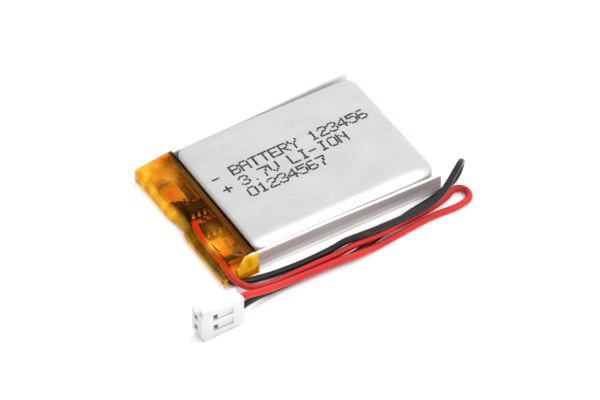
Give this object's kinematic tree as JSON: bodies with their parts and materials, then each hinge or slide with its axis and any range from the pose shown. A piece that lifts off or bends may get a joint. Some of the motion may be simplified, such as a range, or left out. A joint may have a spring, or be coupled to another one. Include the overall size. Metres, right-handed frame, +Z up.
{
  "type": "single-cell lithium polymer battery pack",
  "caption": "Flat soft-pouch rechargeable cell with a taped protection board, two looped leads and a small two-way plug.",
  "frame": {"origin": "centre of the underside of the cell with its taped end, on the surface it lies on", "axes": "+X along the cell from its taped end to its folded far end, +Y across the cell away from the leads, +Z up out of the cell's printed face"},
  "size_m": [0.0489, 0.0326, 0.0058],
  "materials": {
    "laminate_film": "satin",
    "coated_copper_foil": "matte",
    "coated_aluminium_foil": "matte",
    "separator_film": "matte",
    "green_tape": "gloss",
    "nickel": "satin",
    "aluminium_tab": "satin",
    "tab_sealant": "satin",
    "foam": "matte",
    "circuit_board": "satin",
    "chip_black": "matte",
    "ceramic_brown": "satin",
    "solder": "bright",
    "amber_tape": "gloss",
    "red_insulation": "satin",
    "black_insulation": "satin",
    "white_nylon": "satin",
    "printed_ink": "matte",
    "tinned_contact": "satin"
  },
  "bodies": {
    "pack": {"pouch_cup": "laminate_film", "pouch_back": "laminate_film", "anode_foil": "coated_copper_foil", "cathode_foil": "coated_aluminium_foil", "inner_separator": "separator_film", "outer_separator": "separator_film", "winding_tape": "green_tape", "negative_tab": "nickel", "positive_tab": "aluminium_tab", "negative_tab_sealant": "tab_sealant", "positive_tab_sealant": "tab_sealant", "foam_pad": "foam", "protection_board": "circuit_board", "negative_weld_plate": "nickel", "positive_weld_plate": "nickel", "protection_ic": "chip_black", "switching_mosfet": "chip_black", "sense_resistors": "chip_black", "filter_capacitor": "ceramic_brown", "red_solder_joint": "solder", "black_solder_joint": "solder", "tape_wrap": "amber_tape", "front_side_tape": "amber_tape", "back_side_tape": "amber_tape", "red_lead": "red_insulation", "black_lead": "black_insulation", "plug_housing": "white_nylon", "red_terminal": "tinned_contact", "black_terminal": "tinned_contact"}
  },
  "joints": []
}
